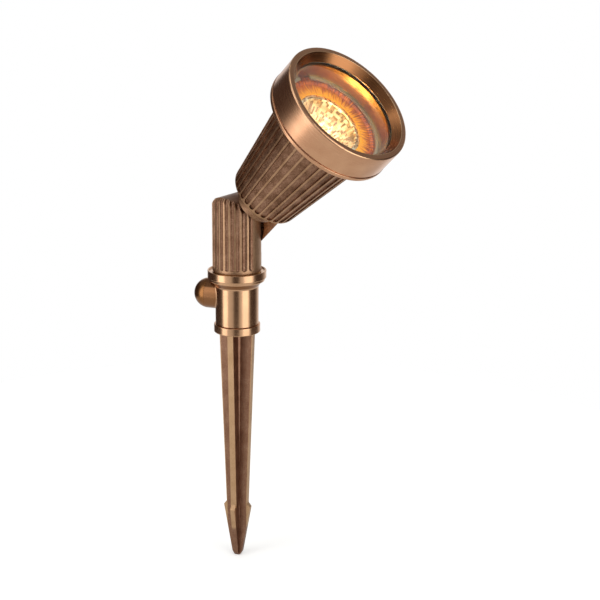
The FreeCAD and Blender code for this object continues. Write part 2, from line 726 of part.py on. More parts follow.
def rib_gaps():
    """The shallow valleys between the ribs, rounded at their rear ends."""
    floor_low = crest_radius(BODY_REAR) - RIB_HEIGHT
    floor_high = crest_radius(BODY_NECK) - RIB_HEIGHT
    outside = turned([
        (floor_low, BODY_REAR), (2 * TUBE_R, BODY_REAR), (2 * TUBE_R, BODY_NECK), (floor_high, BODY_NECK),
    ])
    half_rear = math.pi * crest_radius(RIB_START) / RIBS - RIB_WIDTH_REAR / 2
    half_front = math.pi * crest_radius(BODY_NECK) / RIBS - RIB_WIDTH_FRONT / 2
    rear_left = FreeCAD.Vector(-half_rear, 0, RIB_START)
    rear_middle = FreeCAD.Vector(0, 0, RIB_START - half_rear)
    rear_right = FreeCAD.Vector(half_rear, 0, RIB_START)
    front_right = FreeCAD.Vector(half_front, 0, BODY_NECK)
    front_left = FreeCAD.Vector(-half_front, 0, BODY_NECK)
    edges = [
        Part.Arc(rear_left, rear_middle, rear_right).toShape(),
        Part.LineSegment(rear_right, front_right).toShape(),
        Part.LineSegment(front_right, front_left).toShape(),
        Part.LineSegment(front_left, rear_left).toShape(),
    ]
    face = Part.Face(Part.Wire(edges))
    face.translate(FreeCAD.Vector(0, WALL, 0))
    window = face.extrude(FreeCAD.Vector(0, 2 * TUBE_R, 0))
    windows = []
    for i in range(RIBS):
        copy = window.copy()
        copy.rotate(ORIGIN, AXIS_Z, 360.0 * i / RIBS)
        windows.append(copy)
    return outside.common(Part.makeCompound(windows))


def head_body():
    """Cast cone with ribs, closed rear wall and threaded front tube."""
    inner_rear = crest_radius(BODY_FLOOR) - RIB_HEIGHT - WALL
    inner_front = crest_radius(LEDGE) - RIB_HEIGHT - WALL
    clip_low = LEDGE + PLATE
    shell = turned([
        (NIPPLE_R + FIT, BODY_REAR), (BODY_REAR_R, BODY_REAR), (CREST_REAR_R, BODY_REAR + REAR_CHAMFER),
        (CREST_FRONT_R, BODY_NECK), (TUBE_R - EDGE, BODY_NECK), (TUBE_R, BODY_NECK + EDGE),
        (TUBE_R, RING_GROOVE - RING_GROOVE_WIDTH / 2), (RING_GROOVE_R, RING_GROOVE - RING_GROOVE_WIDTH / 2),
        (RING_GROOVE_R, RING_GROOVE + RING_GROOVE_WIDTH / 2), (TUBE_R, RING_GROOVE + RING_GROOVE_WIDTH / 2),
        (TUBE_R, TUBE_FRONT), (TUBE_BORE_R, TUBE_FRONT), (TUBE_BORE_R, clip_low + CLIP + FIT),
        (TUBE_BORE_R + CLIP_GROOVE, clip_low + CLIP + FIT), (TUBE_BORE_R + CLIP_GROOVE, clip_low),
        (TUBE_BORE_R, clip_low), (TUBE_BORE_R, LEDGE), (inner_front, LEDGE),
        (inner_rear, BODY_FLOOR), (NIPPLE_R + FIT, BODY_FLOOR),
    ])
    shell = shell.cut(rib_gaps())
    hole = rod(M3_R + FIT, BODY_FLOOR - BRACKET_SCREW_LENGTH, BODY_FLOOR + 1, x=BRACKET_SCREW_X)
    return in_head(shell.cut(both_sides(hole)))


def bezel_o_ring():
    """Seal in the groove of the front tube."""
    ring = Part.makeTorus(RING_GROOVE_R + RING_WIRE + FIT / 2, RING_WIRE)
    ring.translate(FreeCAD.Vector(0, 0, RING_GROOVE))
    return in_head(ring)


# ---- Bezel and lens ----

def bezel():
    """Front ring: rear bead and groove, rounded front edge, bevelled lip."""
    bore = TUBE_R + BEZEL_GAP
    groove = BEZEL_REAR + BEAD_LENGTH
    lip = BEZEL_FRONT - LIP_DEPTH
    ring = turned([
        (bore, BEZEL_REAR), (BEAD_R, BEZEL_REAR, BEZEL_EDGE), (BEAD_R, groove, EDGE),
        (BEZEL_R - BEAD_GROOVE, groove), (BEZEL_R - BEAD_GROOVE, groove + BEAD_GROOVE_WIDTH),
        (BEZEL_R, groove + BEAD_GROOVE_WIDTH, EDGE / 2), (BEZEL_R, BEZEL_FRONT, BEZEL_EDGE),
        (FACE_INNER_R, BEZEL_FRONT, EDGE / 2), (LIP_R, lip), (LIP_R, lip - LIP_THICKNESS),
        (LENS_POCKET_R, lip - LIP_THICKNESS), (LENS_POCKET_R, TUBE_FRONT + FACE_GAP / 2), (bore, TUBE_FRONT + FACE_GAP / 2),
    ])
    return in_head(ring)


def lens_gasket():
    """Channel ring of black silicone round the lens's edge."""
    inner = LENS_POCKET_R - TOOTH_GAP / 2 - GASKET_WEB
    outer = inner + GASKET_WEB
    rear = LENS_GASKET_REAR
    front = LENS_GASKET_FRONT - FACE_GAP
    ring = turned([
        (GASKET_LEG_R, rear), (outer, rear), (outer, front), (GASKET_LEG_R, front),
        (GASKET_LEG_R, front - GASKET_LEG), (inner, front - GASKET_LEG), (inner, rear + GASKET_LEG),
        (GASKET_LEG_R, rear + GASKET_LEG),
    ])
    return in_head(ring)


def lens():
    """Clear glass disc in its gasket."""
    radius = LENS_POCKET_R - TOOTH_GAP / 2 - GASKET_WEB
    return in_head(rod(radius, LENS_GASKET_REAR + GASKET_LEG, LENS_GASKET_FRONT - FACE_GAP - GASKET_LEG))


# ---- Lamp plate, clip and lamp ----

def lamp_plate():
    """Dished sheet ring between the housing's ledge and the lamp's rim."""
    inner = LAMP_R + 3 * FIT
    outer = TUBE_BORE_R - FIT
    low = LEDGE - PLATE_DISH
    shoulder = low + PLATE / 2
    ring = turned([
        (inner, low), (PLATE_RIM_R - 2 * PLATE, shoulder), (PLATE_RIM_R - PLATE, LEDGE), (outer, LEDGE),
        (outer, LEDGE + PLATE), (PLATE_RIM_R - PLATE / 2, LEDGE + PLATE),
        (PLATE_RIM_R - 2.4 * PLATE, shoulder + PLATE), (inner, low + PLATE),
    ])
    return in_head(ring)


def plate_clip():
    """Open spring ring that holds the lamp plate down."""
    low = LEDGE + PLATE
    ring = tube(TUBE_BORE_R + CLIP_GROOVE - FIT, CLIP_R, low, low + CLIP)
    reach = 2 * TUBE_R
    half = reach * math.tan(math.radians(CLIP_OPENING / 2))
    corners = [
        FreeCAD.Vector(0, 0, low - 1), FreeCAD.Vector(half, reach, low - 1),
        FreeCAD.Vector(-half, reach, low - 1), FreeCAD.Vector(0, 0, low - 1),
    ]
    opening = Part.Face(Part.makePolygon(corners)).extrude(FreeCAD.Vector(0, 0, CLIP + 2))
    return in_head(ring.cut(opening))


def bowl_curve(wall):
    """Paraboloid's half profile from the hole to the rim, wall outside the mirror surface."""
    mouth_r = LAMP_R - LAMP_RIM_WIDTH
    mouth_z = LAMP_FRONT - LAMP_RIM
    slope = (mouth_z - BOWL_VERTEX) / mouth_r ** 2
    points = []
    steps = 6
    for i in range(steps + 1):
        radius = BOWL_HOLE_R + (mouth_r - BOWL_HOLE_R) * i / steps
        points.append(at(radius + wall, BOWL_VERTEX + slope * radius ** 2))
    curve = Part.BSplineCurve()
    curve.interpolate(points)
    return curve.toShape(), points[0], points[-1]


def lamp_reflector():
    """Glass bowl with its flat front rim."""
    inner, inner_low, inner_high = bowl_curve(0)
    outer, outer_low, outer_high = bowl_curve(BOWL_WALL)
    rim_low = LAMP_FRONT - LAMP_RIM
    glass_seat = LAMP_FRONT - LAMP_GLASS
    corners = [
        outer_high, at(LAMP_R, rim_low), at(LAMP_R, LAMP_FRONT), at(inner_high.x, LAMP_FRONT), inner_high,
    ]
    edges = [outer]
    for first, last in zip(corners, corners[1:]):
        edges.append(Part.LineSegment(first, last).toShape())
    edges.append(inner)
    edges.append(Part.LineSegment(inner_low, outer_low).toShape())
    bowl = Part.Face(Part.Wire(Part.__sortEdges__(edges))).revolve(ORIGIN, AXIS_Z, 360)
    seat = rod(inner_high.x + EDGE, glass_seat, LAMP_FRONT + 1)
    return in_head(bowl.cut(seat))


def lamp_glass():
    """Front glass of the lamp, in the seat of its rim."""
    radius = LAMP_R - LAMP_RIM_WIDTH + EDGE - FIT
    return in_head(rod(radius, LAMP_FRONT - LAMP_GLASS, LAMP_FRONT))


def lamp_capsule():
    """Halogen capsule on the bowl's axis."""
    low = BOWL_VERTEX - 3
    high = low + CAPSULE_LENGTH
    body = rod(CAPSULE_R, low, high - CAPSULE_R)
    end = Part.makeSphere(CAPSULE_R, FreeCAD.Vector(0, 0, high - CAPSULE_R))
    return in_head(body.fuse(end).removeSplitter())


def lamp_base():
    """Ceramic base: round collar under the bowl, flat block below."""
    mouth_r = LAMP_R - LAMP_RIM_WIDTH
    slope = (LAMP_FRONT - LAMP_RIM - BOWL_VERTEX) / mouth_r ** 2
    top = BOWL_VERTEX + slope * BOWL_HOLE_R ** 2
    collar_low = top - BASE_COLLAR
    body = rod(LAMP_NECK_R, collar_low, top).fuse(block(BASE_WIDTH, BASE_THICKNESS, LAMP_REAR, collar_low + 1))
    body = body.removeSplitter().cut(rod(CAPSULE_R + FIT, BOWL_VERTEX - 3, top + 1))
    hole = rod(PIN_R + FIT, LAMP_REAR - 1, LAMP_REAR + 2, x=PIN_SPACING / 2)
    return in_head(body.cut(both_sides(hole)))


def lamp_pins():
    """Two contact pins."""
    return in_head(both_sides(rod(PIN_R, LAMP_REAR - PIN_LENGTH, LAMP_REAR + 2, x=PIN_SPACING / 2)))


# ---- Lampholder, bracket, wiring in the head ----

def lampholder():
    """Ceramic block with two contact holes, screwed to the bracket from below."""
    body = block(HOLDER_WIDTH, HOLDER_THICKNESS, HOLDER_BOTTOM, LAMP_REAR)
    contact = rod(PIN_R + 2 * FIT, LAMP_REAR - PIN_LENGTH - 1, LAMP_REAR + 1, x=PIN_SPACING / 2)
    thread = rod(M3_R + FIT, HOLDER_BOTTOM - 1, HOLDER_BOTTOM + HOLDER_SCREW_LENGTH, x=HOLDER_SCREW_X)
    return in_head(body.cut(both_sides(contact)).cut(both_sides(thread)))


def holder_bracket():
    """Bent strip: two feet on the rear wall, two legs, and the bridge under the lampholder."""
    low = BODY_FLOOR
    high = HOLDER_BOTTOM
    strip = plate([
        (-BRACKET_FOOT_X, low), (-BRACKET_LEG_X + BRACKET, low, EDGE), (-BRACKET_LEG_X + BRACKET, high - BRACKET, EDGE),
        (BRACKET_LEG_X - BRACKET, high - BRACKET, EDGE), (BRACKET_LEG_X - BRACKET, low, EDGE), (BRACKET_FOOT_X, low),
        (BRACKET_FOOT_X, low + BRACKET), (BRACKET_LEG_X, low + BRACKET, EDGE), (BRACKET_LEG_X, high, EDGE * 2),
        (-BRACKET_LEG_X, high, EDGE * 2), (-BRACKET_LEG_X, low + BRACKET, EDGE), (-BRACKET_FOOT_X, low + BRACKET),
    ], BRACKET_WIDTH)
    strip = strip.cut(rod(BRACKET_HOLE_R, high - 2 * BRACKET, high + 1))
    for hole_x in (BRACKET_SCREW_X, HOLDER_SCREW_X):
        strip = strip.cut(both_sides(rod(M3_R + 2 * FIT, low - 1, high + 1, x=hole_x)))
    return in_head(strip)


def bracket_screws():
    """Two screws through the bracket's feet into the rear wall."""
    body = screw(M3_R, BRACKET_SCREW_LENGTH, M3_HEAD_R, M3_HEAD, slot=EDGE)
    body.translate(FreeCAD.Vector(BRACKET_SCREW_X, 0, BODY_FLOOR + BRACKET))
    return in_head(both_sides(body))


def holder_screws():
    """Two screws up through the bridge into the lampholder."""
    body = screw(M3_R, HOLDER_SCREW_LENGTH, M3_HEAD_R, M3_HEAD, slot=EDGE)
    body.rotate(ORIGIN, AXIS_X, 180)
    body.translate(FreeCAD.Vector(HOLDER_SCREW_X, 0, HOLDER_BOTTOM - BRACKET))
    return in_head(both_sides(body))


def head_leads():
    """Two wires from the lampholder down into the nipple."""
    return in_head(both_sides(rod(WIRE_R, WIRE_TURN + 1, HOLDER_BOTTOM, x=WIRE_X)))


# ---- Files ----

NODES = [
    ground_stake, stake_hub, hub_o_ring, stake_screw, collar, gland_nut, gland_seal, pan_washer,
    lower_knuckle, pivot_o_ring, pivot_screw, pivot_washer, stem_washer, stem_locknut, stem_leads, crimp_sleeves,
    upper_knuckle, neck_gasket, neck_lock_washer, neck_locknut, head_body, bezel_o_ring,
    bezel, lens_gasket, lens,
    lamp_plate, plate_clip, lamp_reflector, lamp_glass, lamp_capsule, lamp_base, lamp_pins,
    lampholder, holder_bracket, bracket_screws, holder_screws, head_leads,
]


def main():
    os.makedirs("parts", exist_ok=True)
    for make in NODES:
        shape = make()
        solids = shape.Solids
        good = shape.isValid() and all(solid.isClosed() for solid in solids)
        print(f"{make.__name__}: {len(solids)} solid(s), {shape.Volume / 1000:.2f} cm3, valid {good}")
        shape.exportStep(f"parts/{make.__name__}.step")


main()
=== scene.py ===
import json
import math

import bmesh
import bpy
from mathutils import Matrix, Vector

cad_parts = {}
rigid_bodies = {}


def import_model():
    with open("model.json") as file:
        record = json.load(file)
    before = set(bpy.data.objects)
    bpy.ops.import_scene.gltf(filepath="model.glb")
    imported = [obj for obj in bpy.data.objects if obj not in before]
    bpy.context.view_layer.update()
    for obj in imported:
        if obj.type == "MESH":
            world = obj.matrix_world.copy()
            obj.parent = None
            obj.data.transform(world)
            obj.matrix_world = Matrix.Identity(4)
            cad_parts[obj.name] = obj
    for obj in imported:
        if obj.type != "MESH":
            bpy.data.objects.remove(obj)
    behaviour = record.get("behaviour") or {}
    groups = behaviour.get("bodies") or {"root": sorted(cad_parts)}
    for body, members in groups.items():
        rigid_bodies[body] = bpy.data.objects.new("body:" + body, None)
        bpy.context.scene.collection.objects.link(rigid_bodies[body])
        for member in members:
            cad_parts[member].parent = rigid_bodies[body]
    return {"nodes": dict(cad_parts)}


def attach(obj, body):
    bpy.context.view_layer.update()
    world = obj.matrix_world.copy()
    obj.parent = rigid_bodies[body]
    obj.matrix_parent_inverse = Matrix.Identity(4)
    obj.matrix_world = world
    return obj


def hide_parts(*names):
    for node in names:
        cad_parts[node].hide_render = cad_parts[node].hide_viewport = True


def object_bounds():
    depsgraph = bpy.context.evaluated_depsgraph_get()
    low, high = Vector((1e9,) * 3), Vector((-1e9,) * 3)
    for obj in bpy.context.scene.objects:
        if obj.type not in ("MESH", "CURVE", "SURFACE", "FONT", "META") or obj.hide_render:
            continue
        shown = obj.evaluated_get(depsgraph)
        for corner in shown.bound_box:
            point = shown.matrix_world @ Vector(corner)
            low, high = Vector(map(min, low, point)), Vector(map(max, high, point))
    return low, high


# Looks of a garden spike spotlight: cast and turned brass, with a lit lamp behind clear glass

for leftover in list(bpy.data.objects):
    bpy.data.objects.remove(leftover)
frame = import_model()
cad_low, cad_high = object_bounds()
nodes = frame["nodes"]

MM = 0.001

# Where the pieces are, as in the CAD model
HEAD_TILT = math.radians(46.7)
STAKE_TURN = math.radians(22.3)
PIVOT = Vector((0, 0, 82 * MM))

# Sizes that the finishes follow, in millimetres. On the stake, collar and post they run up from the top of
# the blade, and out from the upright axis.
BLADE_LENGTH = 142.0
BLADE_TOP_R = 13.9
BLADE_LOW_R = 8.6
BARREL_R = 16.6
BOSS_LOW = 14.0
BOSS_TOP = 40.2
POST_R = 18.6
DOME_Z = 88.4           # where the post's sides turn into its rounded top
DOME_R = 18.65
SHOULDER_R = 24.0       # the same top, across the flutes

# On the head they run forward from the pivot, and out from the head's own axis
CREST_REAR = 42.4
CREST_REAR_R = 26.6
CREST_FRONT = 123.5
CREST_FRONT_R = 37.9
BORE_R = 38.8
BEZEL_FRONT = 148.6
FACE_MIDDLE_R = 46.02   # half way across the ring's front face
FACE_INNER_R = 44.0
BEHIND_LIP = 141.0
PLATE_R = 35.5
PLATE_MIDDLE_R = 30.0

# The lamp, measured as the head is
LAMP_R = 25.0
LAMP_FRONT = 124.0
LAMP_RIM = 1.6
LAMP_RIM_WIDTH = 2.7
LAMP_GLASS = 1.1
GLASS_LEDGE = 0.5
BOWL_VERTEX = 98.0
BOWL_WALL = 1.3
BOWL_HOLE_R = 5.2
MOUTH_R = LAMP_R - LAMP_RIM_WIDTH
FACET_SECTORS = 80
FACET_ROWS = 18         # even, so that the last ring of facets isn't shifted
FACET_STEP = (MOUTH_R - BOWL_HOLE_R) / FACET_ROWS

# Photograph's view
VIEW_AZIMUTH = math.radians(-47.74)
VIEW_ELEVATION = math.radians(15.46)
VIEW_ROLL = math.radians(-0.60)
VIEW_DISTANCE = 957.33 * MM
VIEW_SIDE = 48.18 * MM
VIEW_HEIGHT = 24.816 * MM
VIEW_LENS = 75
VIEW_SENSOR = 36

# Softboxes: (name, degrees to the camera's right, height, distance, width, tall, watts)
SOFTBOXES = [
    ("softbox_right", 48, 0.35, 1.35, 0.95, 1.9, 7.8),
    ("softbox_left", -61, 0.35, 1.35, 0.75, 1.9, 7.2),
    ("softbox_top", -20, 1.5, 0.25, 1.0, 1.0, 4.2),
]
# Scrims between the softboxes: (degrees to the camera's right, how dense)
SCRIMS = [
    (-180, 0.0), (-160, 0.0), (-152, 0.97), (-86, 0.97), (-75, 0.0), (-40, 0.1), (-20, 0.3), (-11, 0.95),
    (9, 0.95), (16, 0.3), (26, 0.0), (68, 0.0), (76, 0.97), (112, 0.95), (124, 0.75), (142, 0.2), (150, 0.0),
    (180, 0.0),
]
SCRIM_R = 1.7
SCRIM_LOW = -2.2
SCRIM_TOP = 2.6
SCRIM_SIDES = 72
# Above these heights the cloth closes in to a darker ceiling
CEILING_START = 0.7
CEILING_FULL = 1.05
CEILING_DENSITY = 0.76

ROOM_LIGHT = 0.56       # strength of the white room as light; the camera and reflections see it at 1
FLOOR_R = 0.5
FLOOR_SIDES = 96
FLOOR_GAP = 0.2 * MM
FLOOR_LIFT = 0.34       # glow that only the camera sees, which brings the floor to white

# Where most of a noise texture's values lie
NOISE_LOW = 0.3
NOISE_TOP = 0.7


# ---- Small tools ----

def colour(hexcode):
    """sRGB hex to linear RGBA."""
    values = []
    for i in (0, 2, 4):
        level = int(hexcode[i:i + 2], 16) / 255
        values.append(level / 12.92 if level <= 0.04045 else ((level + 0.055) / 1.055) ** 2.4)
    return (*values, 1)


def per_mm(size):
    """Texture scale for features of this size in millimetres."""
    return 1 / (size * MM)


def add(tree, kind, inputs=None, **settings):
    """Adds a node with its settings; inputs are values, or sockets to link. Gives the node's outputs."""
    made = tree.nodes.new("ShaderNode" + kind)
    for name, value in settings.items():
        setattr(made, name, value)
    for key, value in (inputs or {}).items():
        if isinstance(value, bpy.types.NodeSocket):
            tree.links.new(value, made.inputs[key])
        else:
            made.inputs[key].default_value = value
    return made.outputs


def new_material(name):
    """Empty material and its node tree."""
    material = bpy.data.materials.new(name)
    material.use_nodes = True
    material.node_tree.nodes.clear()
    return material, material.node_tree


def ramp_stops(outputs, stops):
    """Sets the colours of the ramp whose outputs these are: (place, hex)."""
    elements = outputs[0].node.color_ramp.elements
    while len(elements) > 1:
        elements.remove(elements[-1])
    elements[0].position = stops[0][0]
    elements[0].color = colour(stops[0][1])
    for place, shade in stops[1:]:
        elements.new(place).color = colour(shade)


def ring_of(form, sides, radius, height, shift=0.0):
    """Adds a level ring of vertices round the Z axis to a bmesh, turned on by a share of one side."""
    ring = []
    for i in range(sides):
        angle = 2 * math.pi * (i + shift) / sides
        ring.append(form.verts.new((radius * math.cos(angle), radius * math.sin(angle), height)))
    return ring


def mesh_object(name, form, material):
    """Object from a bmesh."""
    data = bpy.data.meshes.new(name)
    form.to_mesh(data)
    form.free()
    data.materials.append(material)
    made = bpy.data.objects.new(name, data)
    bpy.context.scene.collection.objects.link(made)
    return made


# ---- Camera and studio ----

def set_camera():
    """Long lens at the photograph's angle and distance, rolled by its slight lean."""
    back = Vector((
        math.sin(VIEW_AZIMUTH) * math.cos(VIEW_ELEVATION),
        -math.cos(VIEW_AZIMUTH) * math.cos(VIEW_ELEVATION),
        math.sin(VIEW_ELEVATION),
    ))
    right = Vector((math.cos(VIEW_AZIMUTH), math.sin(VIEW_AZIMUTH), 0))
    up = back.cross(right)
    side = math.cos(VIEW_ROLL) * right - math.sin(VIEW_ROLL) * up
    top = math.sin(VIEW_ROLL) * right + math.cos(VIEW_ROLL) * up
    data = bpy.data.cameras.new("photo_lens")
    data.lens = VIEW_LENS
    data.sensor_width = VIEW_SENSOR
    data.clip_start = 0.01
    data.clip_end = 20
    camera = bpy.data.objects.new("photo_camera", data)
    bpy.context.scene.collection.objects.link(camera)
    turn = Matrix((side, top, back)).transposed().to_4x4()
    place = VIEW_SIDE * right + Vector((0, 0, VIEW_HEIGHT)) + VIEW_DISTANCE * back
    camera.matrix_world = Matrix.Translation(place) @ turn
    bpy.context.scene.camera = camera


def white_room():
    """White surroundings: plain white to the camera, to metal and to glass, and dimmer as light."""
    world = bpy.data.worlds.new("studio")
    bpy.context.scene.world = world
    world.use_nodes = True
    tree = world.node_tree
    tree.nodes.clear()
    path = add(tree, "LightPath")
    seen = add(tree, "Math", {0: path["Is Camera Ray"], 1: path["Is Glossy Ray"]}, operation="MAXIMUM")
    seen = add(tree, "Math", {0: seen[0], 1: path["Is Transmission Ray"]}, operation="MAXIMUM")
    room = add(tree, "Background", {"Color": colour("ffffff"), "Strength": ROOM_LIGHT})
    white = add(tree, "Background", {"Color": colour("ffffff"), "Strength": 1.0})
    mixed = add(tree, "MixShader", {0: seen[0], 1: room[0], 2: white[0]})
    add(tree, "OutputWorld", {"Surface": mixed[0]})


def softboxes():
    """Two tall softboxes beside the camera and one above, all turned to the object."""
    for name, side, height, distance, width, tall, watts in SOFTBOXES:
        data = bpy.data.lights.new(name, "AREA")
        data.shape = "RECTANGLE"
        data.size = width
        data.size_y = tall
        data.energy = watts
        lamp = bpy.data.objects.new(name, data)
        bpy.context.scene.collection.objects.link(lamp)
        angle = VIEW_AZIMUTH + math.radians(side)
        lamp.location = (distance * math.sin(angle), -distance * math.cos(angle), height)
        lamp.rotation_euler = Vector(lamp.location).to_track_quat("Z", "Y").to_euler()
        lamp.visible_camera = False


def scrim_cloth():
    """Dark cloth that is thick or thin by its bearing, and closes to a ceiling above."""
    material, tree = new_material("scrim_cloth")
    place = add(tree, "TexCoord")["Object"]
    split = add(tree, "SeparateXYZ", {0: place})
    across = add(tree, "Math", {0: split["Y"], 1: split["X"]}, operation="ARCTAN2")
    along = add(tree, "MapRange", {0: across[0], 1: -math.pi, 2: math.pi, 3: 0.0, 4: 1.0})
    dense = add(tree, "FloatCurve", {"Value": along[0]})
    mapping = dense[0].node.mapping
    points = mapping.curves[0].points
    for i, (side, density) in enumerate(SCRIMS):
        at = ((side + 180) / 360, density)
        if i < 2:
            points[i].location = at
        else:
            points.new(*at)
    for point in points:
        point.handle_type = "VECTOR"
    mapping.update()
    high = add(tree, "MapRange", {0: split["Z"], 1: CEILING_START, 2: CEILING_FULL},
               interpolation_type="SMOOTHSTEP")
    cover = add(tree, "Mix", {"Factor": high[0], "A": dense[0], "B": CEILING_DENSITY})
    clear = add(tree, "BsdfTransparent")
    cloth = add(tree, "Emission", {"Color": colour("36221a"), "Strength": 1.0})
    shown = add(tree, "MixShader", {0: cover[0], 1: clear[0], 2: cloth[0]})
    add(tree, "OutputMaterial", {"Surface": shown[0]})
    return material


def studio_scrims():
    """Round tent of scrims that only reflections see: it draws the dark bands in the metal."""
    form = bmesh.new()
    low = ring_of(form, SCRIM_SIDES, SCRIM_R, SCRIM_LOW)
    top = ring_of(form, SCRIM_SIDES, SCRIM_R, SCRIM_TOP)
    form.faces.new(top)
    for i in range(SCRIM_SIDES):
        j = (i + 1) % SCRIM_SIDES
        form.faces.new((low[i], low[j], top[j], top[i]))
    scrims = mesh_object("studio_scrims", form, scrim_cloth())
    scrims.rotation_euler = (0, 0, VIEW_AZIMUTH - math.pi / 2)
    for sight in ("camera", "diffuse", "transmission", "shadow", "volume_scatter"):
        setattr(scrims, "visible_" + sight, False)


def paper_floor():
    """Round sheet of pale paper under the tip, white to the camera but for the object's shadow."""
    material, tree = new_material("pale_paper")
    path = add(tree, "LightPath")
    sheet = add(tree, "BsdfDiffuse", {"Color": colour("f4f4f2")})
    lift = add(tree, "Math", {0: path["Is Camera Ray"], 1: FLOOR_LIFT}, operation="MULTIPLY")
    glow = add(tree, "Emission", {"Color": colour("ffffff"), "Strength": lift[0]})
    both = add(tree, "AddShader", {0: sheet[0], 1: glow[0]})
    add(tree, "OutputMaterial", {"Surface": both[0]})
    form = bmesh.new()
    bmesh.ops.create_circle(form, cap_ends=True, radius=FLOOR_R, segments=FLOOR_SIDES)
    floor = mesh_object("floor", form, material)
    floor.location.z = cad_low[2] - FLOOR_GAP


# ---- Places on the pieces ----

def head_place(tree):
    """Object coordinates turned upright on the head's axis, from the pivot."""
    place = add(tree, "TexCoord")["Object"]
    return add(tree, "Mapping", {"Vector": place, "Location": PIVOT, "Rotation": (HEAD_TILT, 0, 0)},
               vector_type="TEXTURE")[0]


def from_axis(tree, place):
    """A place's coordinates (X, Y, Z) and its distance from the Z axis."""
    flat = add(tree, "VectorMath", {0: place, 1: (1, 1, 0)}, operation="MULTIPLY")
    away = add(tree, "VectorMath", {0: flat[0]}, operation="LENGTH")
    return add(tree, "SeparateXYZ", {0: place}), away["Value"]


def housing_crests(tree):
    """1 on the ribs' crests, from the cone that they lie on."""
    split, away = from_axis(tree, head_place(tree))
    slope = (CREST_FRONT_R - CREST_REAR_R) / (CREST_FRONT - CREST_REAR)
    cone = add(tree, "Math", {0: split["Z"], 1: -slope}, operation="MULTIPLY")
    under = add(tree, "Math", {0: away, 1: cone[0]}, operation="ADD")
    crest = (CREST_REAR_R - CREST_REAR * slope) * MM
    return add(tree, "MapRange", {0: under[0], 1: crest - 0.75 * MM, 2: crest - 0.15 * MM},
               interpolation_type="SMOOTHSTEP")[0]


def housing_rear(tree):
    """1 on the chamfer behind the ribs, which is drawn paler and more golden."""
    split = add(tree, "SeparateXYZ", {0: head_place(tree)})
    return add(tree, "MapRange", {0: split["Z"], 1: (CREST_REAR + 0.4) * MM, 2: (CREST_REAR - 0.1) * MM},
               interpolation_type="SMOOTHSTEP")[0]


def housing_bore(tree):
    """1 on the bored and polished wall that the lamp shines on."""
    split, away = from_axis(tree, head_place(tree))
    front = add(tree, "Math", {0: split["Z"], 1: (LAMP_FRONT + 0.4) * MM}, operation="GREATER_THAN")
    inside = add(tree, "Math", {0: away, 1: (BORE_R + 0.6) * MM}, operation="LESS_THAN")
    return add(tree, "Math", {0: front[0], 1: inside[0]}, operation="MULTIPLY")[0]


def post_lands(tree):
    """1 on the lands between the flutes, from the rounded form that they lie on: a post, and a dome above."""
    place = add(tree, "TexCoord")["Object"]
    wide = 1 / POST_R / MM
    flat = add(tree, "VectorMath", {0: place, 1: (wide, wide, 0)}, operation="MULTIPLY")
    side = add(tree, "VectorMath", {0: flat[0]}, operation="LENGTH")["Value"]
    raised = add(tree, "VectorMath", {0: place, 1: (0, 0, DOME_Z * MM)}, operation="SUBTRACT")
    shares = (1 / SHOULDER_R / MM, 1 / DOME_R / MM, 1 / SHOULDER_R / MM)
    ball = add(tree, "VectorMath", {0: raised[0], 1: shares}, operation="MULTIPLY")
    dome = add(tree, "VectorMath", {0: ball[0]}, operation="LENGTH")["Value"]
    height = add(tree, "SeparateXYZ", {0: place})["Z"]
    upper = add(tree, "Math", {0: height, 1: DOME_Z * MM}, operation="GREATER_THAN")
    top = add(tree, "Math", {0: dome, 1: upper[0]}, operation="MULTIPLY")
    form = add(tree, "Math", {0: side, 1: top[0]}, operation="MAXIMUM")
    return add(tree, "MapRange", {0: form[0], 1: 0.972, 2: 0.992}, interpolation_type="SMOOTHSTEP")[0]


def fin_edges(tree):
    """1 on the narrow edges of the stake's fins, which taper to the point."""
    place = add(tree, "TexCoord")["Object"]
    own = add(tree, "Mapping", {"Vector": place, "Rotation": (0, 0, STAKE_TURN)}, vector_type="TEXTURE")
    split = add(tree, "SeparateXYZ", {0: own[0]})
    wide = []
    for axis in ("X", "Y"):
        wide.append(add(tree, "Math", {0: split[axis]}, operation="ABSOLUTE")[0])
    reach = add(tree, "Math", {0: wide[0], 1: wide[1]}, operation="MAXIMUM")
    taper = add(tree, "MapRange", {
        0: split["Z"], 1: -BLADE_LENGTH * MM, 2: 0.0, 3: BLADE_LOW_R * MM, 4: BLADE_TOP_R * MM})
    share = add(tree, "Math", {0: reach[0], 1: taper[0]}, operation="DIVIDE")
    return add(tree, "MapRange", {0: share[0], 1: 0.9, 2: 0.99}, interpolation_type="SMOOTHSTEP")[0]


def half_rubbed(tree):
    """Patches about 7 mm across, between hollow and high ground."""
    place = add(tree, "TexCoord")["Object"]
    patch = add(tree, "TexNoise", {"Vector": place, "Scale": per_mm(7.0), "Detail": 1.0})
    return add(tree, "MapRange", {0: patch[0], 1: 0.1, 2: 1.0}, interpolation_type="SMOOTHSTEP")[0]


def edge_painted_highlight(tree):
    """1 on the painted highlight lines where the ring's front face meets its outer and inner edges."""
    split, away = from_axis(tree, head_place(tree))
    middle = add(tree, "Math", {0: away, 1: FACE_MIDDLE_R * MM}, operation="SUBTRACT")
    off = add(tree, "Math", {0: middle[0]}, operation="ABSOLUTE")
    near = add(tree, "MapRange", {0: off[0], 1: 1.45 * MM, 2: 1.75 * MM}, interpolation_type="SMOOTHSTEP")
    front = add(tree, "MapRange", {0: split["Z"], 1: (BEZEL_FRONT - 0.8) * MM, 2: (BEZEL_FRONT - 0.3) * MM},
                interpolation_type="SMOOTHSTEP")
    return add(tree, "Math", {0: near[0], 1: front[0]}, operation="MULTIPLY")[0]


